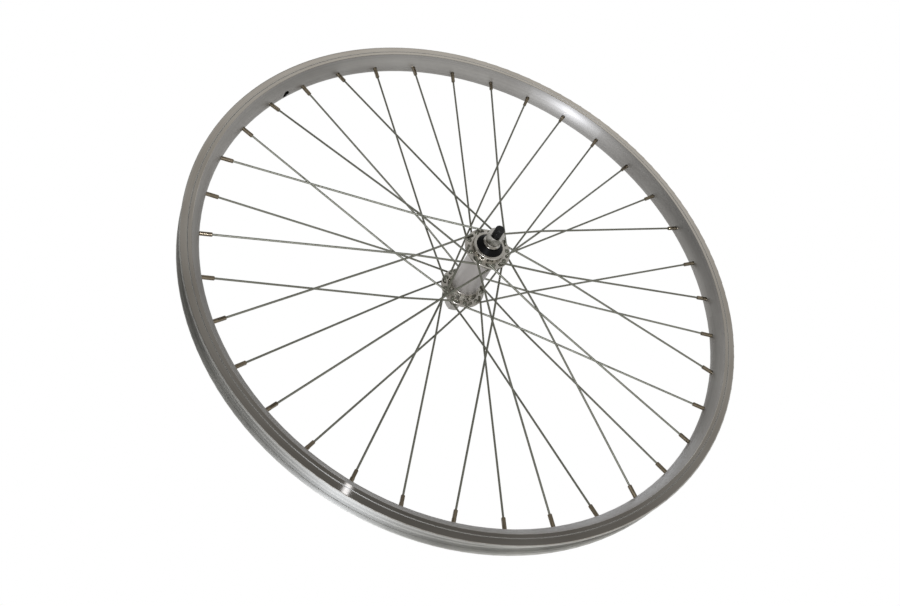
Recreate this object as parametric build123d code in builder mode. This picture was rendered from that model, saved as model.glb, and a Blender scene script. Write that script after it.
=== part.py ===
from build123d import *
import os
from math import cos, radians, sin, sqrt, tan

# Front wheel of a 26 inch bicycle, without tyre. The axle lies along Y through the wheel's
# centre, Z is up and the right side of the wheel is at -Y. Millimetres and degrees.

# Rim section, a hooked double-wall extrusion
bead_seat_radius = 279.5
hook_rise = 6.1
hook_height = 2.6
hook_overhang = 1.1
hook_round = 1.15
rim_depth = 18.7
rim_width = 24.8
rim_wall = 1.8
bed_wall = 1.8
bridge_wall = 1.4
well_width = 11.0
well_depth = 3.0
well_slope = 2.0
track_height = 10.6
wear_groove_drop = 7.1
wear_groove_width = 0.8
wear_groove_depth = 0.35
valve_hole_radius = 4.25
valve_angle = 140.0
tool_hole_radius = 4.0

# Spokes and lacing
spoke_count = 36
crossings = 3
spoke_radius = 1.0
spoke_head_radius = 2.1
spoke_head_edge = 0.5
spoke_head_crown = 0.8
spoke_end_past_seat = 1.0
elbow_radius = 2.2
crossing_bend_radius = 60.0
elbow_gap = 0.15
inside_elbow_gap = 0.4
crossing_gap = 0.1
head_gap = 0.05

# Nipples
nipple_radius = 2.0
nipple_length = 16.0
nipple_head_radius = 2.95
nipple_head_height = 1.3
nipple_crown = 1.2
nipple_flat_length = 7.5
nipple_across_flats = 3.3
nipple_tip_chamfer = 0.4
nipple_slot_width = 0.9
nipple_slot_depth = 1.0
nipple_bore_gap = 0.05
nipple_hole_gap = 0.25
nipple_seat_gap = 0.05

# Hub shell
flange_spacing = 70.0
flange_thickness = 3.0
flange_radius = 23.0
flange_edge_round = 0.8
spoke_circle_radius = 19.6
spoke_hole_gap = 0.25
spoke_hole_chamfer = 0.3
barrel_radius = 14.0
barrel_bore_radius = 10.5
barrel_length = 54.0
barrel_lip = 0.6
flare_radius = 16.6
collar_height = 4.5
collar_wall = 2.6
collar_draft = 0.5
collar_round = 0.9

# Bearings
ball_radius = 2.381
ball_count = 10
ball_circle_radius = 9.9
ball_gap = 0.06
cup_wall = 1.06
cup_hole_radius = 7.8
cup_mouth_drop = 1.8
cup_fit_gap = 0.01
retainer_inner_step = 0.2
retainer_width = 1.6
retainer_inset = 0.6
retainer_height = 3.2
retainer_gap = 0.1
cone_nose_length = 2.2
cone_race_sweep = 75.0
cone_shoulder = 1.4
cone_neck_radius = 7.4
cone_across_flats = 13.0
cone_flat_length = 3.0

# Axle and its fittings
axle_radius = 4.5
axle_length = 138.0
axle_chamfer = 0.8
thread_gap = 0.03
width_over_locknuts = 100.0
locknut_thickness = 3.0
lock_washer_thickness = 1.3
lock_washer_radius = 8.5
nut_across_flats = 15.0
nut_chamfer_angle = 30.0
axle_nut_height = 9.0
right_nut_gap = 1.2
left_nut_gap = 7.5
seal_running_gap = 0.25
seal_rim_height = 1.6
seal_edge_round = 0.8
seal_top_radius = 9.4
seal_fit_gap = 0.02
seal_end_gap = 0.2

# Rim radii
hook_radius = bead_seat_radius + hook_rise
bed_radius = hook_radius - rim_depth
seat_radius = bed_radius + bed_wall
track_foot_radius = hook_radius - track_height
wear_groove_radius = hook_radius - wear_groove_drop
well_radius = bead_seat_radius - well_depth
half_rim = rim_width / 2
half_channel = half_rim - rim_wall
half_hooks = half_channel - hook_overhang
half_well = well_width / 2

# Hub stations along the axle, measured from the wheel's centre
flange_inner = (flange_spacing - flange_thickness) / 2
flange_outer = (flange_spacing + flange_thickness) / 2
collar_end = flange_outer + collar_height
ball_plane = flange_spacing / 2
race_radius = ball_radius + ball_gap
cup_radius = ball_circle_radius + race_radius + cup_wall
cup_floor = ball_plane - race_radius - cup_wall
cup_mouth = collar_end - cup_mouth_drop
cup_seat_radius = cup_radius + cup_fit_gap
collar_radius = cup_seat_radius + collar_wall
locknut_face = width_over_locknuts / 2
washer_face = locknut_face - locknut_thickness
cone_end = washer_face - lock_washer_thickness
thread_radius = axle_radius + thread_gap

# A spoke's run from flange hole to rim hole, seen along the axle
rim_step = 360 / spoke_count
hub_lead = crossings * 2 * rim_step
spoke_run = sqrt(
    spoke_circle_radius**2
    + seat_radius**2
    - 2 * spoke_circle_radius * seat_radius * cos(radians(hub_lead))
)
hub_offset = spoke_circle_radius * sin(radians(hub_lead - rim_step))
rim_offset = seat_radius * sin(radians(rim_step))
crossing_share = hub_offset / (hub_offset + rim_offset)
crossing_run = spoke_run * crossing_share

# Heights of the spokes above the wheel's middle plane. Inside spokes leave their elbows close to
# the flange's inner face. Outside spokes leave theirs high enough to pass over the flange's edge.
outward_cosine = seat_radius**2 - spoke_run**2 - spoke_circle_radius**2
outward_cosine /= 2 * spoke_run * spoke_circle_radius
edge_run = sqrt(flange_radius**2 - spoke_circle_radius**2 * (1 - outward_cosine**2))
edge_run -= spoke_circle_radius * outward_cosine
edge_share = edge_run / crossing_run
straight_share = 1 - crossing_share
crossing_spread = 2 * spoke_radius + crossing_gap
inside_height = flange_inner - spoke_radius - inside_elbow_gap
outside_height = flange_outer + spoke_radius + elbow_gap
outside_height += edge_share * (crossing_spread - straight_share * inside_height) / 2
outside_height /= 1 - edge_share * (1 - straight_share / 2)
crossing_height = straight_share * (inside_height + outside_height) / 2

os.makedirs("parts", exist_ok=True)


def write(piece, name):
    piece.label = name
    export_step(piece, f"parts/{name}.step")


# The piece on the left side, at +Y, is the mirror image of the one on the right.
def write_pair(piece, name):
    write(piece, f"{name}_left")
    write(mirror(piece, about=Plane.XZ), f"{name}_right")


# Stations count round the rim from the valve. Even ones belong to the right flange. In each group
# of four the first two spokes run along the inside of their flanges and the last two outside.
def is_right(station):
    return station % 2 == 0


def is_outside(station):
    return station % 4 >= 2


# The plane that holds a spoke: x from its flange hole to its rim hole, y outwards along the axle.
def spoke_plane(station):
    rim_angle = radians(valve_angle + (station + 0.5) * rim_step)
    lead = radians(-hub_lead if is_outside(station) else hub_lead)
    rim_hole = Vector(cos(rim_angle), 0, sin(rim_angle)) * seat_radius
    hub_hole = Vector(cos(rim_angle + lead), 0, sin(rim_angle + lead)) * spoke_circle_radius
    along = (rim_hole - hub_hole).normalized()
    outwards = Vector(0, -1 if is_right(station) else 1, 0)
    return Plane(origin=hub_hole, x_dir=along, z_dir=along.cross(outwards))


# Interlaced at the last crossing: the outside spoke passes under, the inside spoke over.
def height_at_crossing(station):
    half_spread = crossing_spread / 2
    return crossing_height + (-half_spread if is_outside(station) else half_spread)


# Nipple seat in the rim: z points away from the hub along the spoke.
def nipple_seat(station):
    plane = spoke_plane(station)
    along = plane.x_dir * (spoke_run - crossing_run) - plane.y_dir * height_at_crossing(station)
    return Plane(origin=plane.origin + plane.x_dir * spoke_run, x_dir=plane.z_dir, z_dir=along)


# Spoke: wire from the head through the flange hole, round the elbow and past the crossing to the rim.
def make_spoke(station):
    plane = spoke_plane(station)
    head_side = -1 if is_outside(station) else 1
    head_face = (flange_inner if is_outside(station) else flange_outer) + head_side * head_gap
    hub_height = outside_height if is_outside(station) else inside_height
    cross_height = height_at_crossing(station)
    fall = cross_height / (spoke_run - crossing_run)
    head_top = head_face + head_side * (spoke_head_edge + spoke_head_crown)
    head_rim = head_face + head_side * spoke_head_edge
    with BuildPart() as spoke:
        with BuildLine(plane) as wire:
            FilletPolyline(
                (0, head_rim),
                (0, hub_height),
                (crossing_run, cross_height),
                (spoke_run + spoke_end_past_seat, -fall * spoke_end_past_seat),
                radius=[elbow_radius, crossing_bend_radius],
            )
        with BuildSketch(Plane(wire.line @ 0, z_dir=wire.line % 0)):
            Circle(spoke_radius)
        sweep()
        with BuildSketch(plane):
            with BuildLine():
                Polyline(
                    (0, head_top),
                    (0, head_face),
                    (spoke_head_radius, head_face),
                    (spoke_head_radius, head_rim),
                )
                TangentArc((0, head_top), (spoke_head_radius, head_rim), tangent=(1, 0))
            make_face()
        revolve(axis=Axis(plane.origin, plane.y_dir))
    return spoke.part


# Cutters for one spoke's holes: the nipple hole with its conical seat, and the tool hole in the bridge.
hole_radius = nipple_radius + nipple_hole_gap
cone_gap = nipple_seat_gap * sqrt(2)
seat_cone_radius = nipple_head_radius + cone_gap
with BuildPart() as seat_cutter:
    with BuildSketch(Plane.XZ):
        with BuildLine():
            Polyline(
                (0, bed_wall),
                (seat_cone_radius + bed_wall, bed_wall),
                (hole_radius, hole_radius - seat_cone_radius),
                (hole_radius, -rim_depth),
                (0, -rim_depth),
                close=True,
            )
        make_face()
    revolve(axis=Axis.Z)

bridge_top = bead_seat_radius - seat_radius
bridge_under = well_radius - bridge_wall - seat_radius
with BuildPart() as tool_cutter:
    with BuildSketch(Plane.XY.offset(bridge_under - bridge_wall)):
        Circle(tool_hole_radius)
    extrude(amount=bridge_top - bridge_under + bridge_wall)

# Rim: the section revolved about the axle, then drilled for nipples and valve
seats = [nipple_seat(station) for station in range(spoke_count)]
valve_direction = Vector(cos(radians(valve_angle)), 0, sin(radians(valve_angle)))
with BuildPart() as rim:
    with BuildSketch() as section:
        with BuildLine():
            TangentArc((bed_radius, 0), (track_foot_radius, half_rim), tangent=(0, 1))
            Polyline(
                (track_foot_radius, half_rim),
                (wear_groove_radius - wear_groove_width / 2, half_rim),
                (wear_groove_radius - wear_groove_width / 2, half_rim - wear_groove_depth),
                (wear_groove_radius + wear_groove_width / 2, half_rim - wear_groove_depth),
                (wear_groove_radius + wear_groove_width / 2, half_rim),
                (hook_radius, half_rim),
                (hook_radius, half_hooks),
                (hook_radius - hook_height, half_hooks),
                (hook_radius - hook_height - hook_overhang, half_channel),
                (bead_seat_radius, half_channel),
                (bead_seat_radius, half_well + well_slope),
                (well_radius, half_well),
                (well_radius, 0),
            )
            mirror(about=Plane.XZ)
        make_face()
        fillet(section.vertices().group_by(Axis.X)[-1], hook_round)
        with BuildLine():
            TangentArc((seat_radius, 0), (track_foot_radius, half_channel), tangent=(0, 1))
            Polyline(
                (track_foot_radius, half_channel),
                (bead_seat_radius - bridge_wall, half_channel),
                (bead_seat_radius - bridge_wall, half_well + well_slope),
                (well_radius - bridge_wall, half_well),
                (well_radius - bridge_wall, 0),
            )
            mirror(about=Plane.XZ)
        make_face(mode=Mode.SUBTRACT)
    revolve(axis=Axis.Y)
    with Locations(*seats):
        add(seat_cutter.part, mode=Mode.SUBTRACT)
        add(tool_cutter.part, mode=Mode.SUBTRACT)
    with Locations(Plane(origin=valve_direction * hook_radius, z_dir=valve_direction)):
        Hole(valve_hole_radius, depth=2 * rim_depth)
write(rim.part, "rim")

# Spokes, numbered round each side from the valve
for station in range(spoke_count):
    side = "right" if is_right(station) else "left"
    write(make_spoke(station), f"spoke_{side}_{station // 2 + 1:02d}")

# Nipple: conical head that seats in the rim, round shank, square tip for the wrench
nipple_tip = nipple_head_height + nipple_crown - nipple_length
nipple_crown_radius = nipple_head_radius - nipple_crown
with BuildPart() as nipple:
    with BuildSketch(Plane.XZ):
        with BuildLine():
            shank_top = Line((nipple_radius, nipple_radius - nipple_head_radius), (nipple_head_radius, 0))
            Line(shank_top @ 1, (nipple_head_radius, nipple_head_height))
            crown = TangentArc(
                (nipple_head_radius, nipple_head_height),
                (nipple_crown_radius, nipple_head_height + nipple_crown),
                tangent=(0, 1),
            )
            Polyline(
                crown @ 1,
                (0, nipple_head_height + nipple_crown),
                (0, nipple_tip),
                (nipple_radius, nipple_tip),
                shank_top @ 0,
            )
        make_face()
    revolve(axis=Axis.Z)
    chamfer(nipple.faces().sort_by(Axis.Z)[0].edges(), nipple_tip_chamfer)
    with BuildSketch(Plane.XY.offset(nipple_tip)):
        Circle(2 * nipple_radius)
        Rectangle(nipple_across_flats, nipple_across_flats, mode=Mode.SUBTRACT)
    extrude(amount=nipple_flat_length, mode=Mode.SUBTRACT)
    with BuildSketch(Plane.XY.offset(nipple_head_height + nipple_crown)):
        Rectangle(nipple_slot_width, 2 * nipple_head_radius)
    extrude(amount=-nipple_slot_depth, mode=Mode.SUBTRACT)
    with Locations((0, 0, nipple_head_height + nipple_crown)):
        Hole(spoke_radius + nipple_bore_gap, depth=nipple_length)

with BuildPart() as nipples_right:
    with Locations(*seats[0::2]):
        add(nipple.part)
write(nipples_right.part, "nipples_right")

with BuildPart() as nipples_left:
    with Locations(*seats[1::2]):
        add(nipple.part)
write(nipples_left.part, "nipples_left")

# Hub shell: barrel, two flanges and two collars turned from one piece, then drilled for the spokes
flange_hole_radius = spoke_radius + spoke_hole_gap
first_hole = valve_angle + rim_step / 2 + hub_lead
with BuildPart() as hub_shell:
    with BuildSketch() as shell_section:
        with BuildLine():
            half_barrel = barrel_length / 2
            Polyline(
                (barrel_bore_radius, 0),
                (barrel_radius, 0),
                (barrel_radius, half_barrel),
                (barrel_radius + barrel_lip, half_barrel),
            )
            flare = TangentArc(
                (barrel_radius + barrel_lip, half_barrel),
                (flare_radius, flange_inner),
                tangent=(0, 1),
            )
            Polyline(
                flare @ 1,
                (flange_radius, flange_inner),
                (flange_radius, flange_outer),
                (collar_radius + collar_draft, flange_outer),
                (collar_radius, collar_end),
                (cup_seat_radius, collar_end),
                (cup_seat_radius, cup_floor),
                (barrel_bore_radius, cup_floor),
                (barrel_bore_radius, 0),
            )
        make_face()
        fillet(shell_section.vertices().group_by(Axis.X)[-1], flange_edge_round)
        fillet(shell_section.vertices().group_by(Axis.Y)[-1].sort_by(Axis.X)[-1], collar_round)
        mirror(about=Plane.XZ)
    revolve(axis=Axis.Y)
    with BuildSketch(Plane.XZ.offset(flange_inner)):
        with PolarLocations(spoke_circle_radius, spoke_count // 2, start_angle=first_hole):
            Circle(flange_hole_radius)
    extrude(amount=flange_thickness, mode=Mode.SUBTRACT)
    with BuildSketch(Plane.XZ.offset(-flange_outer)):
        with PolarLocations(spoke_circle_radius, spoke_count // 2, start_angle=first_hole + rim_step):
            Circle(flange_hole_radius)
    extrude(amount=flange_thickness, mode=Mode.SUBTRACT)
    rings = hub_shell.edges().filter_by(GeomType.CIRCLE).filter_by(lambda edge: edge.is_closed)
    chamfer(rings.group_by(SortBy.RADIUS)[0], spoke_hole_chamfer)
write(hub_shell.part, "hub_shell")

# Bearing cup, pressed into the collar: a quarter-round race below a straight wall
with BuildPart() as bearing_cup:
    with BuildSketch():
        with BuildLine():
            race = CenterArc((ball_circle_radius, ball_plane), race_radius, 0, -90)
            Polyline(
                race @ 1,
                (cup_hole_radius, ball_plane - race_radius),
                (cup_hole_radius, cup_floor),
                (cup_radius, cup_floor),
                (cup_radius, cup_mouth),
                (ball_circle_radius + race_radius, cup_mouth),
                race @ 0,
            )
        make_face()
    revolve(axis=Axis.Y)
write_pair(bearing_cup.part, "bearing_cup")

# Bearing balls, evenly spaced round the ball circle
ball_ring = Plane.XZ.offset(-ball_plane)
with BuildPart(ball_ring) as bearing_balls:
    with PolarLocations(ball_circle_radius, ball_count):
        Sphere(ball_radius)
write_pair(bearing_balls.part, "bearing_balls")

# Ball retainer: a pressed ring outboard of the balls with a pocket for each
retainer_inner = ball_circle_radius + retainer_inner_step
with BuildPart(ball_ring) as ball_retainer:
    with BuildSketch(Plane.XZ.offset(-ball_plane + retainer_inset)):
        Circle(retainer_inner + retainer_width)
        Circle(retainer_inner, mode=Mode.SUBTRACT)
    extrude(amount=-retainer_height - retainer_inset)
    with PolarLocations(ball_circle_radius, ball_count):
        Sphere(ball_radius + retainer_gap, mode=Mode.SUBTRACT)
write_pair(ball_retainer.part, "ball_retainer")

# Cone: threaded on the axle, with the inner race, a shoulder and a neck with two wrench flats
with BuildPart() as cone:
    with BuildSketch():
        with BuildLine():
            race = CenterArc((ball_circle_radius, ball_plane), race_radius, 180, -cone_race_sweep)
            shoulder_end = (race @ 1).Y + cone_shoulder
            Polyline(
                race @ 1,
                ((race @ 1).X, shoulder_end),
                (cone_neck_radius, shoulder_end),
                (cone_neck_radius, cone_end),
                (thread_radius, cone_end),
                (thread_radius, ball_plane - cone_nose_length),
                (ball_circle_radius - race_radius, ball_plane - cone_nose_length),
                race @ 0,
            )
        make_face()
    revolve(axis=Axis.Y)
    with BuildSketch(Plane.XZ.offset(-cone_end)):
        Circle(2 * cone_neck_radius)
        Rectangle(3 * cone_neck_radius, cone_across_flats, mode=Mode.SUBTRACT)
    extrude(amount=cone_flat_length, mode=Mode.SUBTRACT)
write_pair(cone.part, "cone")

# Dust seal: a rubber boot on the cone's neck that closes the collar's mouth
seal_radius = cup_seat_radius - seal_running_gap
seal_foot = cup_mouth + seal_running_gap
seal_top = cone_end - seal_end_gap
with BuildPart() as dust_seal:
    with BuildSketch() as seal_section:
        with BuildLine():
            Polyline(
                (cone_neck_radius + seal_fit_gap, seal_foot),
                (seal_radius, seal_foot),
                (seal_radius, seal_foot + seal_rim_height),
                (seal_top_radius, seal_top),
                (cone_neck_radius + seal_fit_gap, seal_top),
                close=True,
            )
        make_face()
        fillet(seal_section.vertices().group_by(Axis.X)[-1].sort_by(Axis.Y)[-1], seal_edge_round)
    revolve(axis=Axis.Y)
write_pair(dust_seal.part, "dust_seal")

# Lock washer between the cone and the locknut
with BuildPart() as lock_washer:
    with BuildSketch(Plane.XZ.offset(-washer_face)):
        Circle(lock_washer_radius)
        Circle(thread_radius, mode=Mode.SUBTRACT)
    extrude(amount=lock_washer_thickness)
write_pair(lock_washer.part, "lock_washer")


# Hexagon nut between two stations along +Y, chamfered at both ends
def make_nut(start, end):
    corner_radius = nut_across_flats / sqrt(3)
    end_radius = nut_across_flats / 2
    slant = (corner_radius - end_radius) * tan(radians(nut_chamfer_angle))
    with BuildPart() as nut:
        with BuildSketch(Plane.XZ.offset(-end)):
            RegularPolygon(nut_across_flats / 2, 6, major_radius=False)
        extrude(amount=end - start)
        with BuildSketch():
            with BuildLine():
                Polyline(
                    (thread_radius, start),
                    (end_radius, start),
                    (corner_radius, start + slant),
                    (corner_radius, end - slant),
                    (end_radius, end),
                    (thread_radius, end),
                    close=True,
                )
            make_face()
        revolve(axis=Axis.Y, mode=Mode.INTERSECT)
    return nut.part


write_pair(make_nut(washer_face, locknut_face), "locknut")

# Axle nuts: the right one sits close to its locknut, the left one is backed off
left_nut_start = locknut_face + left_nut_gap
right_nut_end = -locknut_face - right_nut_gap
write(make_nut(left_nut_start, left_nut_start + axle_nut_height), "axle_nut_left")
write(make_nut(right_nut_end - axle_nut_height, right_nut_end), "axle_nut_right")

# Axle: a solid rod, chamfered at both ends
with BuildPart() as axle:
    with BuildSketch(Plane.XZ.offset(-axle_length / 2)):
        Circle(axle_radius)
    extrude(amount=axle_length)
    chamfer(axle.edges().filter_by(GeomType.CIRCLE), axle_chamfer)
write(axle.part, "axle")
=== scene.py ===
import math

import bmesh
import bpy
from mathutils import Matrix, Quaternion, Vector


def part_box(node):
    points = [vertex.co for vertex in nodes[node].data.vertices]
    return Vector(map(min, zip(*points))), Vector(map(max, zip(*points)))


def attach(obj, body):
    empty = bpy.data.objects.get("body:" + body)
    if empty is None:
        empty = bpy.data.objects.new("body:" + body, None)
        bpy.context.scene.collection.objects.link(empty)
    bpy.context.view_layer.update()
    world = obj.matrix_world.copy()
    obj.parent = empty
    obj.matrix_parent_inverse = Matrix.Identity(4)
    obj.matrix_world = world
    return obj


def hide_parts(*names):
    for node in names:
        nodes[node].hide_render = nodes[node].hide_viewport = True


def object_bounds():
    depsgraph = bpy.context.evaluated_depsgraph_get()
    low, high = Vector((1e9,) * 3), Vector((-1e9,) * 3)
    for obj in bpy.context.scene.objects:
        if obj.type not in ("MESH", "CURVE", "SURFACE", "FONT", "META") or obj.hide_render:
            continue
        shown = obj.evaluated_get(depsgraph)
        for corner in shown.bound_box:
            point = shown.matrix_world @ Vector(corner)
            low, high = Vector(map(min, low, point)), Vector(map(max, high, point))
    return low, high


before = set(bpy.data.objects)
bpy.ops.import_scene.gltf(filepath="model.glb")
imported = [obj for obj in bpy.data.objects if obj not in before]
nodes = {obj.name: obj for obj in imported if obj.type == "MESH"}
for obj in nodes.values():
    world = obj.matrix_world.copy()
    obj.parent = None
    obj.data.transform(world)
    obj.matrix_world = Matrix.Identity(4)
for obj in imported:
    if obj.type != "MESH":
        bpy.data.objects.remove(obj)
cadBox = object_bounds()
scene = bpy.context.scene
mm = 0.001                # one millimetre in metres
bumpDepth = 0.05 * mm     # height of the fine bumps
print("frame loaded,", len(nodes), "nodes")


# sRGB hex to linear colour
def hexColor(code):
    parts = [int(code[i:i + 2], 16) / 255 for i in (1, 3, 5)]
    return [c / 12.92 if c <= 0.04045 else ((c + 0.055) / 1.055) ** 2.4 for c in parts] + [1.0]


# one node: settings are its own properties, inputs are values or sockets to link. Sockets go by name or
# number: a colour mix has its factor at 0, its colours at 6 and 7 and its result at 2, and a map range
# has its value at 0, the range it comes from at 1 and 2 and the range it goes to at 3 and 4.
def addNode(tree, kind, settings=None, inputs=None):
    node = tree.nodes.new(kind)
    for name, value in (settings or {}).items():
        setattr(node, name, value)
    for name, value in (inputs or {}).items():
        if isinstance(value, bpy.types.NodeSocket):
            tree.links.new(value, node.inputs[name])
        else:
            node.inputs[name].default_value = value
    return node


# settings that several nodes share
blend = {"data_type": "RGBA"}
plus = {"operation": "ADD"}
times = {"operation": "MULTIPLY"}
over = {"operation": "DIVIDE"}
above = {"operation": "GREATER_THAN"}
below = {"operation": "LESS_THAN"}
larger = {"operation": "MAXIMUM"}
unsigned = {"operation": "ABSOLUTE"}
lengthOf = {"operation": "LENGTH"}


def startMaterial(name):
    material = bpy.data.materials.new(name)
    material.use_nodes = True
    material.node_tree.nodes.clear()
    return material, material.node_tree


def dress(names, material):
    for name in names:
        slots = nodes[name].data.materials
        slots.clear()
        slots.append(material)


def named(start):
    return [name for name in nodes if name.startswith(start)]


# a finished bmesh as an object at the origin
def pieceFrom(bm, name):
    mesh = bpy.data.meshes.new(name)
    bm.to_mesh(mesh)
    bm.free()
    piece = bpy.data.objects.new(name, mesh)
    scene.collection.objects.link(piece)
    return piece


# where a point lies: its place, its distance from the axle and along it, both in mm, and its turn round it
def wheelCoordinates(tree):
    place = addNode(tree, "ShaderNodeTexCoord").outputs["Object"]
    split = addNode(tree, "ShaderNodeSeparateXYZ", inputs={0: place}).outputs
    across = addNode(tree, "ShaderNodeVectorMath", times, {0: place, 1: (1, 0, 1)}).outputs[0]
    reach = addNode(tree, "ShaderNodeVectorMath", lengthOf, {0: across}).outputs["Value"]
    radius = addNode(tree, "ShaderNodeMath", over, {0: reach, 1: mm}).outputs[0]
    along = addNode(tree, "ShaderNodeMath", over, {0: split["Y"], 1: mm}).outputs[0]
    turn = addNode(
        tree, "ShaderNodeMath", {"operation": "ARCTAN2"}, {0: split["Z"], 1: split["X"]}
    ).outputs[0]
    return place, radius, along, turn


# rim: 6061 alloy, extruded, rolled and clear anodised. A soft grey with fine lines that run round the
# wheel, so a lamp draws a streak across them. The tracks are turned almost to a mirror, and the channel
# is left pale and matt.
rimFinish = {
    "bed": "#b2b0ac",
    "bedDark": "#a29f9b",
    "track": "#aea9a1",
    "trackDark": "#9c968d",
    "channel": "#d4d3ce",
    "channelDark": "#b3b2ad",
    "grooveHighlight": "#bcbab5",          # the wear groove, lighter than the track: a painted highlight
    "cavityShade": "#3c3b39",          # the hollow inside the rim, painted dark as shade
    "lineSpacing": 0.8,           # mm, drawn coarser than the real lines so that they show
    "cloudSize": 60.0,            # mm
    "mottleSpan": (0.7, 1.3),     # lines and clouds together, from the dark tone to the light one
    "trackFace": 12.25,           # mm from the middle plane
    "grooveFloor": 11.9,          # mm from the middle plane
    "channelFloor": 276.0,        # mm from the axle
    "bedCentre": 280.4,           # mm from the axle, the middle of the bed's arc
    "cavityReach": 12.8,          # mm from that middle
    "grooveRadius": 278.5,        # mm from the axle
    "grooveHalf": 0.55,           # mm, half the groove's width
    "roughBed": 0.44,
    "roughTrack": 0.06,
    "roughChannel": 0.61,
    "streak": 0.9,
    "streakTurn": 0.25,           # of a full turn, from along the lines to across them
}


def rimAlloy(finish):
    material, tree = startMaterial("rimAlloyAnodised")
    place, radius, along, turn = wheelCoordinates(tree)
    width = addNode(tree, "ShaderNodeMath", unsigned, {0: along}).outputs[0]
    isTrack = addNode(tree, "ShaderNodeMath", above, {0: width, 1: finish["trackFace"]}).outputs[0]
    isInside = addNode(tree, "ShaderNodeMath", below, {0: width, 1: finish["trackFace"]}).outputs[0]
    isOutside = addNode(tree, "ShaderNodeMath", above, {0: width, 1: finish["grooveFloor"]}).outputs[0]
    isHigh = addNode(tree, "ShaderNodeMath", above, {0: radius, 1: finish["channelFloor"]}).outputs[0]
    isLow = addNode(tree, "ShaderNodeMath", below, {0: radius, 1: finish["channelFloor"]}).outputs[0]
    isRing = addNode(
        tree, "ShaderNodeMath", {"operation": "COMPARE"},
        {0: radius, 1: finish["grooveRadius"], 2: finish["grooveHalf"]},
    ).outputs[0]
    drop = addNode(
        tree, "ShaderNodeMath", {"operation": "SUBTRACT"}, {0: radius, 1: finish["bedCentre"]}
    ).outputs[0]
    section = addNode(tree, "ShaderNodeCombineXYZ", inputs={0: drop, 1: width}).outputs[0]
    reach = addNode(tree, "ShaderNodeVectorMath", lengthOf, {0: section}).outputs["Value"]
    isDeep = addNode(tree, "ShaderNodeMath", below, {0: reach, 1: finish["cavityReach"]}).outputs[0]
    isCavityShade = addNode(tree, "ShaderNodeMath", times, {0: isDeep, 1: isLow}).outputs[0]
    isChannel = addNode(tree, "ShaderNodeMath", times, {0: isInside, 1: isHigh}).outputs[0]
    isGrooveHighlight = addNode(tree, "ShaderNodeMath", times, {0: isRing, 1: isOutside}).outputs[0]

    lineR = addNode(tree, "ShaderNodeMath", over, {0: radius, 1: finish["lineSpacing"]}).outputs[0]
    lineY = addNode(tree, "ShaderNodeMath", over, {0: along, 1: finish["lineSpacing"]}).outputs[0]
    lines = addNode(tree, "ShaderNodeCombineXYZ", inputs={0: lineR, 1: lineY, 2: turn}).outputs[0]
    grain = addNode(
        tree, "ShaderNodeTexNoise", inputs={"Vector": lines, "Scale": 1.0, "Detail": 3.0}
    ).outputs[0]
    cloud = addNode(
        tree, "ShaderNodeTexNoise",
        inputs={"Vector": place, "Scale": 1 / (finish["cloudSize"] * mm), "Detail": 2.0},
    ).outputs[0]
    mottle = addNode(tree, "ShaderNodeMath", plus, {0: grain, 1: cloud}).outputs[0]
    shade = addNode(tree, "ShaderNodeMapRange", inputs={
        0: mottle, 1: finish["mottleSpan"][0], 2: finish["mottleSpan"][1],
    }).outputs[0]

    tones = {}
    for zone in ("bed", "track", "channel"):
        dark = hexColor(finish[zone + "Dark"])
        light = hexColor(finish[zone])
        tones[zone] = addNode(tree, "ShaderNodeMix", blend, {0: shade, 6: dark, 7: light}).outputs[2]
    color = addNode(tree, "ShaderNodeMix", blend, {
        0: isTrack, 6: tones["bed"], 7: tones["track"],
    }).outputs[2]
    color = addNode(tree, "ShaderNodeMix", blend, {
        0: isChannel, 6: color, 7: tones["channel"],
    }).outputs[2]
    # painted highlight: the ring of the wear groove is coloured lighter than the track round it
    color = addNode(tree, "ShaderNodeMix", blend, {
        0: isGrooveHighlight, 6: color, 7: hexColor(finish["grooveHighlight"]),
    }).outputs[2]
    # painted shade: the hollow inside the rim is coloured near black
    color = addNode(tree, "ShaderNodeMix", blend, {
        0: isCavityShade, 6: color, 7: hexColor(finish["cavityShade"]),
    }).outputs[2]
    roughness = addNode(tree, "ShaderNodeMapRange", inputs={
        0: isTrack, 3: finish["roughBed"], 4: finish["roughTrack"],
    }).outputs[0]
    roughness = addNode(tree, "ShaderNodeMapRange", inputs={
        0: isChannel, 3: roughness, 4: finish["roughChannel"],
    }).outputs[0]
    tangent = addNode(tree, "ShaderNodeTangent", {"direction_type": "RADIAL", "axis": "Y"}).outputs[0]
    metal = addNode(tree, "ShaderNodeBsdfPrincipled", inputs={
        "Base Color": color, "Metallic": 1.0, "Roughness": roughness, "Anisotropic": finish["streak"],
        "Anisotropic Rotation": finish["streakTurn"], "Tangent": tangent,
    })
    addNode(tree, "ShaderNodeOutputMaterial", inputs={0: metal.outputs[0]})
    return material


dress(["rim"], rimAlloy(rimFinish))
print("rim dressed")

# hub shell: turned alloy, polished on flanges and collars, which sparkle, and satin along the barrel,
# where fine turning lines soften the shine
hubFinish = {
    "polished": "#c9c5bd",
    "polishedDark": "#a8a49c",
    "satin": "#ccc8c5",
    "satinDark": "#bbb7b4",
    "barrelEnd": 27.0,        # mm from the middle plane
    "barrelRadius": 14.3,     # mm, just over the barrel
    "speckle": 2.5,           # mm
    "lineSpacing": 0.5,       # mm along the axle, drawn coarser than the real lines so that they show
    "roughPolished": 0.26,
    "roughSatin": 0.38,
    "bump": 0.08,
}


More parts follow.
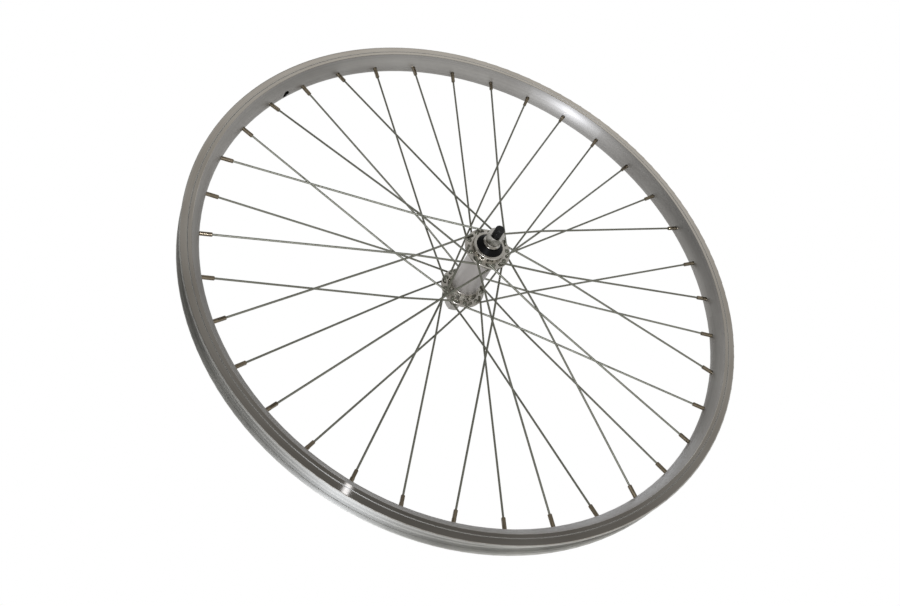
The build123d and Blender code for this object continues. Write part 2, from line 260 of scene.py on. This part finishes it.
def hubAlloy(finish):
    material, tree = startMaterial("hubAlloyPolished")
    place, radius, along, turn = wheelCoordinates(tree)
    speckle = addNode(
        tree, "ShaderNodeTexNoise",
        inputs={"Vector": place, "Scale": 1 / (finish["speckle"] * mm), "Detail": 2.0},
    ).outputs[0]
    lineY = addNode(tree, "ShaderNodeMath", over, {0: along, 1: finish["lineSpacing"]}).outputs[0]
    lines = addNode(tree, "ShaderNodeCombineXYZ", inputs={0: lineY, 1: radius, 2: turn}).outputs[0]
    turning = addNode(
        tree, "ShaderNodeTexNoise", inputs={"Vector": lines, "Scale": 1.0, "Detail": 2.0}
    ).outputs[0]
    width = addNode(tree, "ShaderNodeMath", unsigned, {0: along}).outputs[0]
    isShort = addNode(tree, "ShaderNodeMath", below, {0: width, 1: finish["barrelEnd"]}).outputs[0]
    isThin = addNode(tree, "ShaderNodeMath", below, {0: radius, 1: finish["barrelRadius"]}).outputs[0]
    isBarrel = addNode(tree, "ShaderNodeMath", times, {0: isShort, 1: isThin}).outputs[0]
    bright = addNode(tree, "ShaderNodeMix", blend, {
        0: speckle, 6: hexColor(finish["polishedDark"]), 7: hexColor(finish["polished"]),
    }).outputs[2]
    satin = addNode(tree, "ShaderNodeMix", blend, {
        0: turning, 6: hexColor(finish["satinDark"]), 7: hexColor(finish["satin"]),
    }).outputs[2]
    color = addNode(tree, "ShaderNodeMix", blend, {0: isBarrel, 6: bright, 7: satin}).outputs[2]
    roughness = addNode(tree, "ShaderNodeMapRange", inputs={
        0: isBarrel, 3: finish["roughPolished"], 4: finish["roughSatin"],
    }).outputs[0]
    bump = addNode(tree, "ShaderNodeBump", inputs={
        "Strength": finish["bump"], "Distance": bumpDepth, "Height": turning,
    }).outputs[0]
    metal = addNode(tree, "ShaderNodeBsdfPrincipled", inputs={
        "Base Color": color, "Metallic": 1.0, "Roughness": roughness, "Normal": bump,
    })
    addNode(tree, "ShaderNodeOutputMaterial", inputs={0: metal.outputs[0]})
    return material


dress(["hub_shell"], hubAlloy(hubFinish))
print("hub dressed")


# a metal with two tones in soft patches: tones, patch size in mm, roughness of both tones, any bump
def patchyMetal(name, finish):
    material, tree = startMaterial(name)
    place = addNode(tree, "ShaderNodeTexCoord").outputs["Object"]
    patch = addNode(
        tree, "ShaderNodeTexNoise",
        inputs={"Vector": place, "Scale": 1 / (finish["patch"] * mm), "Detail": 4.0},
    ).outputs[0]
    color = addNode(tree, "ShaderNodeMix", blend, {
        0: patch, 6: hexColor(finish["dark"]), 7: hexColor(finish["light"]),
    }).outputs[2]
    roughness = addNode(tree, "ShaderNodeMapRange", inputs={
        0: patch, 3: finish["roughLow"], 4: finish["roughHigh"],
    }).outputs[0]
    surface = {"Base Color": color, "Metallic": 1.0, "Roughness": roughness}
    if "bump" in finish:
        surface["Normal"] = addNode(tree, "ShaderNodeBump", inputs={
            "Strength": finish["bump"], "Distance": bumpDepth, "Height": patch,
        }).outputs[0]
    metal = addNode(tree, "ShaderNodeBsdfPrincipled", inputs=surface)
    addNode(tree, "ShaderNodeOutputMaterial", inputs={0: metal.outputs[0]})
    return material


# spokes: drawn stainless wire, grey with a thin bright line where a lamp lies square to it
spokeFinish = {"light": "#89897d", "dark": "#707066", "patch": 40.0, "roughLow": 0.4, "roughHigh": 0.45}
# nipples: nickel on brass, dulled until the brass shows through, so brown with a small bright spark
nippleFinish = {"light": "#857b69", "dark": "#695f50", "patch": 12.0, "roughLow": 0.16, "roughHigh": 0.22}
# nuts and washers: bright zinc on steel, pale, with a different grey mirrored in each flat
nutFinish = {
    "light": "#cfcdc8", "dark": "#b3b0aa", "patch": 3.0, "roughLow": 0.14, "roughHigh": 0.22, "bump": 0.02,
}
# cups, cones and balls: ground bearing steel, smooth enough to mirror what is near
bearingFinish = {
    "light": "#b5b5b6", "dark": "#9b9b9d", "patch": 2.0, "roughLow": 0.08, "roughHigh": 0.16, "bump": 0.02,
}
# ball retainers: pressed sheet steel, a dull grey with a faint grain
retainerFinish = {
    "light": "#8f8c86", "dark": "#77746e", "patch": 1.5, "roughLow": 0.3, "roughHigh": 0.42, "bump": 0.1,
}
dress(named("spoke_"), patchyMetal("spokeStainlessDrawn", spokeFinish))
dress(named("nipples_"), patchyMetal("nippleNickelDulled", nippleFinish))
plating = patchyMetal("nutZincPlated", nutFinish)
dress(named("axle_nut") + named("locknut") + named("lock_washer"), plating)
dress(named("bearing_") + named("cone_"), patchyMetal("bearingSteelGround", bearingFinish))
dress(named("ball_retainer"), patchyMetal("retainerSteelPressed", retainerFinish))
print("spokes, nipples, nuts and bearings dressed")

# dust seals: moulded black rubber, matt with a faint shine and a fine grain, its size in mm
sealFinish = {"light": "#0d0d0d", "dark": "#070707", "grain": 0.6, "rough": 0.4, "shine": 0.06, "bump": 0.1}


def sealRubber(finish):
    material, tree = startMaterial("sealRubberMoulded")
    place = addNode(tree, "ShaderNodeTexCoord").outputs["Object"]
    grain = addNode(
        tree, "ShaderNodeTexNoise",
        inputs={"Vector": place, "Scale": 1 / (finish["grain"] * mm), "Detail": 3.0},
    ).outputs[0]
    color = addNode(tree, "ShaderNodeMix", blend, {
        0: grain, 6: hexColor(finish["dark"]), 7: hexColor(finish["light"]),
    }).outputs[2]
    bump = addNode(tree, "ShaderNodeBump", inputs={
        "Strength": finish["bump"], "Distance": bumpDepth, "Height": grain,
    }).outputs[0]
    rubber = addNode(tree, "ShaderNodeBsdfPrincipled", inputs={
        "Base Color": color, "Roughness": finish["rough"],
        "Specular IOR Level": finish["shine"], "Normal": bump,
    })
    addNode(tree, "ShaderNodeOutputMaterial", inputs={0: rubber.outputs[0]})
    return material


dress(named("dust_seal"), sealRubber(sealFinish))
print("seals dressed")

# axle: black oxide on a threaded steel rod, near black and rubbed to a dark grey in small patches
axleShape = {
    "pitch": 1.0 * mm,
    "threadDepth": 0.54 * mm,
    "crest": 0.2,             # share of the pitch that is crest, and as much is root
    "stepsPerTurn": 32,
    "chamfer": 0.8 * mm,
    "centreRadius": 1.5 * mm,
    "centreDepth": 1.0 * mm,
    "mergeGap": 0.002 * mm,   # points this close are one
    "tipReach": 0.1 * mm,     # a point this near the axis is the tip of a centre hole
}
axleFinish = {
    "light": "#2a2a2a", "dark": "#0f0f10", "metallic": 0.6, "rough": 0.36,
    "patch": 1.2,             # mm
}


def threadedAxle(shape):
    low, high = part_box("axle")
    outer = high.x
    root = outer - shape["threadDepth"]
    pitch = shape["pitch"]
    crest = shape["crest"]
    flank = (1 - 2 * crest) / 2
    # one pitch, from the middle of a root to the next: share of the pitch and radius
    stations = [
        (0.0, root), (crest / 2, root), (crest / 2 + flank, outer),
        (1.5 * crest + flank, outer), (1.5 * crest + 2 * flank, root), (1.0, root),
    ]
    bm = bmesh.new()
    ring = [bm.verts.new((radius, low.y - pitch * (1 - share), 0)) for share, radius in stations]
    edges = [bm.edges.new(pair) for pair in zip(ring, ring[1:])]
    bmesh.ops.spin(
        bm, geom=ring + edges, axis=(0, 1, 0), cent=(0, 0, 0), angle=2 * math.pi,
        dvec=(0, pitch / shape["stepsPerTurn"], 0), steps=shape["stepsPerTurn"],
    )
    turns = 1
    while (turns - 1) * pitch < high.y - low.y:
        copy = bmesh.ops.duplicate(bm, geom=bm.verts[:] + bm.edges[:] + bm.faces[:])["geom"]
        added = [v for v in copy if isinstance(v, bmesh.types.BMVert)]
        bmesh.ops.translate(bm, verts=added, vec=(0, turns * pitch, 0))
        turns *= 2
    bmesh.ops.remove_doubles(bm, verts=bm.verts, dist=shape["mergeGap"])
    # both ends cut flat, with a face that is drawn in and poked for the centre hole
    for end, side in ((low.y, -1), (high.y, 1)):
        cut = bmesh.ops.bisect_plane(
            bm, geom=bm.verts[:] + bm.edges[:] + bm.faces[:], plane_co=(0, end, 0),
            plane_no=(0, side, 0), clear_outer=True,
        )
        cutEdges = [e for e in cut["geom_cut"] if isinstance(e, bmesh.types.BMEdge)]
        face = bmesh.ops.contextual_create(bm, geom=cutEdges)["faces"]
        bmesh.ops.inset_region(bm, faces=face, thickness=root - shape["centreRadius"])
        bmesh.ops.poke(bm, faces=face)
    # chamfers at the ends, and the tips of the centre holes pushed in
    for vert in bm.verts:
        radius = math.hypot(vert.co.x, vert.co.z)
        toEnd = min(vert.co.y - low.y, high.y - vert.co.y)
        limit = outer - shape["chamfer"] + toEnd
        if radius > limit:
            vert.co.x *= limit / radius
            vert.co.z *= limit / radius
        if radius < shape["tipReach"]:
            vert.co.y += shape["centreDepth"] * (1 if vert.co.y < 0 else -1)
    bmesh.ops.recalc_face_normals(bm, faces=bm.faces)
    return pieceFrom(bm, "axleThreaded")


def axleOxide(finish):
    material, tree = startMaterial("axleBlackOxide")
    place = addNode(tree, "ShaderNodeTexCoord").outputs["Object"]
    patch = addNode(
        tree, "ShaderNodeTexNoise",
        inputs={"Vector": place, "Scale": 1 / (finish["patch"] * mm), "Detail": 3.0},
    ).outputs[0]
    oxide = addNode(tree, "ShaderNodeMix", blend, {
        0: patch, 6: hexColor(finish["dark"]), 7: hexColor(finish["light"]),
    }).outputs[2]
    metal = addNode(tree, "ShaderNodeBsdfPrincipled", inputs={
        "Base Color": oxide, "Metallic": finish["metallic"], "Roughness": finish["rough"],
    })
    addNode(tree, "ShaderNodeOutputMaterial", inputs={0: metal.outputs[0]})
    return material


axle = threadedAxle(axleShape)
axle.data.materials.append(axleOxide(axleFinish))
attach(axle, "axle_set")
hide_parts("axle")
print("axle threaded,", len(axle.data.polygons), "faces")

# floor under the rim's lowest point: pale matt paper that fades into the white background. The camera
# sees it from above only, and it throws no shadow. Its size and where it fades are in metres.
floorShape = {"size": 40.0, "color": "#f4f4f3", "fade": (0.6, 3.0)}


def studioFloor(shape):
    bm = bmesh.new()
    bmesh.ops.create_grid(bm, x_segments=1, y_segments=1, size=shape["size"] / 2)
    bmesh.ops.translate(bm, verts=bm.verts, vec=(0, 0, cadBox[0].z))
    floor = pieceFrom(bm, "floor")
    material, tree = startMaterial("floorPaper")
    path = addNode(tree, "ShaderNodeLightPath").outputs
    under = addNode(tree, "ShaderNodeNewGeometry").outputs["Backfacing"]
    fromBelow = addNode(tree, "ShaderNodeMath", times, {0: path["Is Camera Ray"], 1: under}).outputs[0]
    clear = addNode(tree, "ShaderNodeMath", larger, {0: fromBelow, 1: path["Is Shadow Ray"]}).outputs[0]
    place = addNode(tree, "ShaderNodeTexCoord").outputs["Object"]
    away = addNode(tree, "ShaderNodeVectorMath", lengthOf, {0: place}).outputs["Value"]
    faded = addNode(
        tree, "ShaderNodeMapRange", {"interpolation_type": "SMOOTHSTEP"},
        {0: away, 1: shape["fade"][0], 2: shape["fade"][1]},
    ).outputs[0]
    far = addNode(tree, "ShaderNodeMath", times, {0: faded, 1: path["Is Camera Ray"]}).outputs[0]
    paper = addNode(tree, "ShaderNodeBsdfDiffuse", inputs={"Color": hexColor(shape["color"])}).outputs[0]
    white = addNode(tree, "ShaderNodeEmission", inputs={"Color": (1, 1, 1, 1), "Strength": 1.0}).outputs[0]
    shown = addNode(tree, "ShaderNodeMixShader", inputs={0: far, 1: paper, 2: white}).outputs[0]
    through = addNode(tree, "ShaderNodeBsdfTransparent").outputs[0]
    both = addNode(tree, "ShaderNodeMixShader", inputs={0: clear, 1: shown, 2: through}).outputs[0]
    addNode(tree, "ShaderNodeOutputMaterial", inputs={0: both})
    floor.data.materials.append(material)
    floor.visible_glossy = False


studioFloor(floorShape)
print("floor laid")

# grey cards round the wheel, seen only in the metal, which they darken. Each rises from a foot line, in
# metres, and its tone goes from one value to the other between two heights. The left keeps a share of
# that tone, and something is added to it at the right and at the bottom.
cards = {
    "cardNear": {
        "foot": ((-3.0, -1.5, -1.5), (3.0, -1.5, -1.5)), "rise": (0, 0, 3.5),
        "fade": (0.35, 2.0), "tones": (0.2, 1.0), "left": 0.6, "right": 0.12, "bottom": 0.6,
    },
    "cardFar": {
        "foot": ((-3.0, 1.5, -2.0), (3.0, 1.5, -2.0)), "rise": (0, 0, 3.5),
        "fade": (-0.5, 1.4), "tones": (0.55, 0.8), "left": 1.0, "right": -0.18, "bottom": 0.0,
    },
    "cardLeft": {
        "foot": ((-2.5, -1.5, -2.0), (-2.5, 0.5, -2.0)), "rise": (0, 0, 5.0),
        "fade": (-1.0, 2.5), "tones": (0.25, 0.5), "left": 1.0, "right": 0.0, "bottom": 0.0,
    },
    "cardRight": {
        "foot": ((2.5, -1.5, -1.0), (2.5, -0.2, -1.0)), "rise": (0, 0, 2.6),
        "fade": (-0.5, 1.6), "tones": (0.45, 0.65), "left": 1.0, "right": 0.0, "bottom": 0.0,
    },
    "cardTop": {
        "foot": ((-3.0, -1.4, 2.2), (3.0, -1.4, 2.2)), "rise": (0, 4.4, 0),
        "fade": (0.0, 2.0), "tones": (0.4, 0.4), "left": 0.9, "right": 0.0, "bottom": 0.0,
    },
}
# from where each of these sets in to where it is full, in metres
cardSpans = {"left": (-0.9, -1.7), "right": (0.4, 1.4), "bottom": (0.3, -0.3)}


def studioCard(name, shape, spans):
    bm = bmesh.new()
    foot = bm.edges.new([bm.verts.new(end) for end in shape["foot"]])
    raised = bmesh.ops.extrude_edge_only(bm, edges=[foot])["geom"]
    top = [v for v in raised if isinstance(v, bmesh.types.BMVert)]
    bmesh.ops.translate(bm, verts=top, vec=shape["rise"])
    card = pieceFrom(bm, name)
    material, tree = startMaterial(name)
    place = addNode(tree, "ShaderNodeTexCoord").outputs["Object"]
    split = addNode(tree, "ShaderNodeSeparateXYZ", inputs={0: place}).outputs
    rise = addNode(tree, "ShaderNodeMapRange", inputs={
        0: split["Z"], 1: shape["fade"][0], 2: shape["fade"][1], 3: shape["tones"][0], 4: shape["tones"][1],
    }).outputs[0]
    toLeft = addNode(tree, "ShaderNodeMapRange", inputs={
        0: split["X"], 1: spans["left"][0], 2: spans["left"][1], 3: 1.0, 4: shape["left"],
    }).outputs[0]
    toRight = addNode(tree, "ShaderNodeMapRange", inputs={
        0: split["X"], 1: spans["right"][0], 2: spans["right"][1], 3: 0.0, 4: shape["right"],
    }).outputs[0]
    toBottom = addNode(tree, "ShaderNodeMapRange", inputs={
        0: split["Z"], 1: spans["bottom"][0], 2: spans["bottom"][1], 3: 0.0, 4: shape["bottom"],
    }).outputs[0]
    middle = addNode(tree, "ShaderNodeMath", times, {0: rise, 1: toLeft}).outputs[0]
    sides = addNode(tree, "ShaderNodeMath", plus, {0: toRight, 1: toBottom}).outputs[0]
    tone = addNode(tree, "ShaderNodeMath", plus, {0: middle, 1: sides}).outputs[0]
    glow = addNode(tree, "ShaderNodeEmission", inputs={"Color": (1, 1, 1, 1), "Strength": tone})
    addNode(tree, "ShaderNodeOutputMaterial", inputs={0: glow.outputs[0]})
    card.data.materials.append(material)
    card.visible_camera = False
    card.visible_diffuse = False
    card.visible_shadow = False


for name, shape in cards.items():
    studioCard(name, shape, cardSpans)
print("cards placed")

# the room: white to the camera and in the metal, a softer fill elsewhere
roomLight = {"white": 1.0, "fill": 0.75}


def studioRoom(light):
    world = bpy.data.worlds.new("studio")
    scene.world = world
    world.use_nodes = True
    tree = world.node_tree
    tree.nodes.clear()
    path = addNode(tree, "ShaderNodeLightPath").outputs
    seen = addNode(
        tree, "ShaderNodeMath", larger, {0: path["Is Camera Ray"], 1: path["Is Glossy Ray"]}
    ).outputs[0]
    shown = addNode(tree, "ShaderNodeMath", larger, {0: seen, 1: path["Is Transmission Ray"]}).outputs[0]
    strength = addNode(tree, "ShaderNodeMapRange", inputs={
        0: shown, 3: light["fill"], 4: light["white"],
    }).outputs[0]
    glow = addNode(tree, "ShaderNodeBackground", inputs={"Color": (1, 1, 1, 1), "Strength": strength})
    addNode(tree, "ShaderNodeOutputWorld", inputs={0: glow.outputs[0]})


studioRoom(roomLight)
print("room lit")

# camera fitted to the photograph's spokes and rim, in the wheel's frame
view = {
    "place": (-288.8, -745.1, -566.0),    # mm
    "forward": (0.2779, 0.7877, 0.5498),
    "lens": 39.52,                        # mm
    "sensor": 36.0,                       # mm wide
    "nearest": 10.0,                      # mm, nothing nearer is drawn
}
forward = Vector(view["forward"]).normalized()
right = forward.cross((0, 0, 1)).normalized()
up = right.cross(forward)
camera = bpy.data.objects.new("camera", bpy.data.cameras.new("camera"))
camera.data.lens = view["lens"]
camera.data.sensor_width = view["sensor"]
camera.data.clip_start = view["nearest"] * mm
turned = Matrix((right, up, -forward)).transposed().to_4x4()
camera.matrix_world = Matrix.Translation(Vector(view["place"]) * mm) @ turned
scene.collection.objects.link(camera)
scene.camera = camera
print("camera set")

# lamps, each aimed at the hub: one behind the camera, one that glints in the near brake track, one
# overhead. Places and sizes are in metres, roll is in degrees and power in watts.
lampColor = "#eef3ff"
lamps = {
    "lampCamera": {
        "place": (-0.92, -1.95, -2.0), "width": 0.29, "height": 0.29, "roll": 0, "power": 37.0,
    },
    "lampGlint": {
        "place": (0.131, -1.091, 0.204), "width": 0.014, "height": 0.08, "roll": -23, "power": 0.0095,
    },
    "lampOverhead": {
        "place": (0.25, 0.15, 1.70), "width": 1.1, "height": 1.1, "roll": 0, "power": 5.0,
    },
}
for name, lamp in lamps.items():
    data = bpy.data.lights.new(name, "AREA")
    data.shape = "ELLIPSE"
    data.size = lamp["width"]
    data.size_y = lamp["height"]
    data.energy = lamp["power"]
    data.color = hexColor(lampColor)[:3]
    light = bpy.data.objects.new(name, data)
    light.location = lamp["place"]
    aim = (-Vector(lamp["place"])).to_track_quat("-Z", "Y")
    light.rotation_euler = (aim @ Quaternion((0, 0, 1), math.radians(lamp["roll"]))).to_euler()
    light.visible_camera = False
    scene.collection.objects.link(light)

scene.view_settings.view_transform = "Standard"
print("lights set")
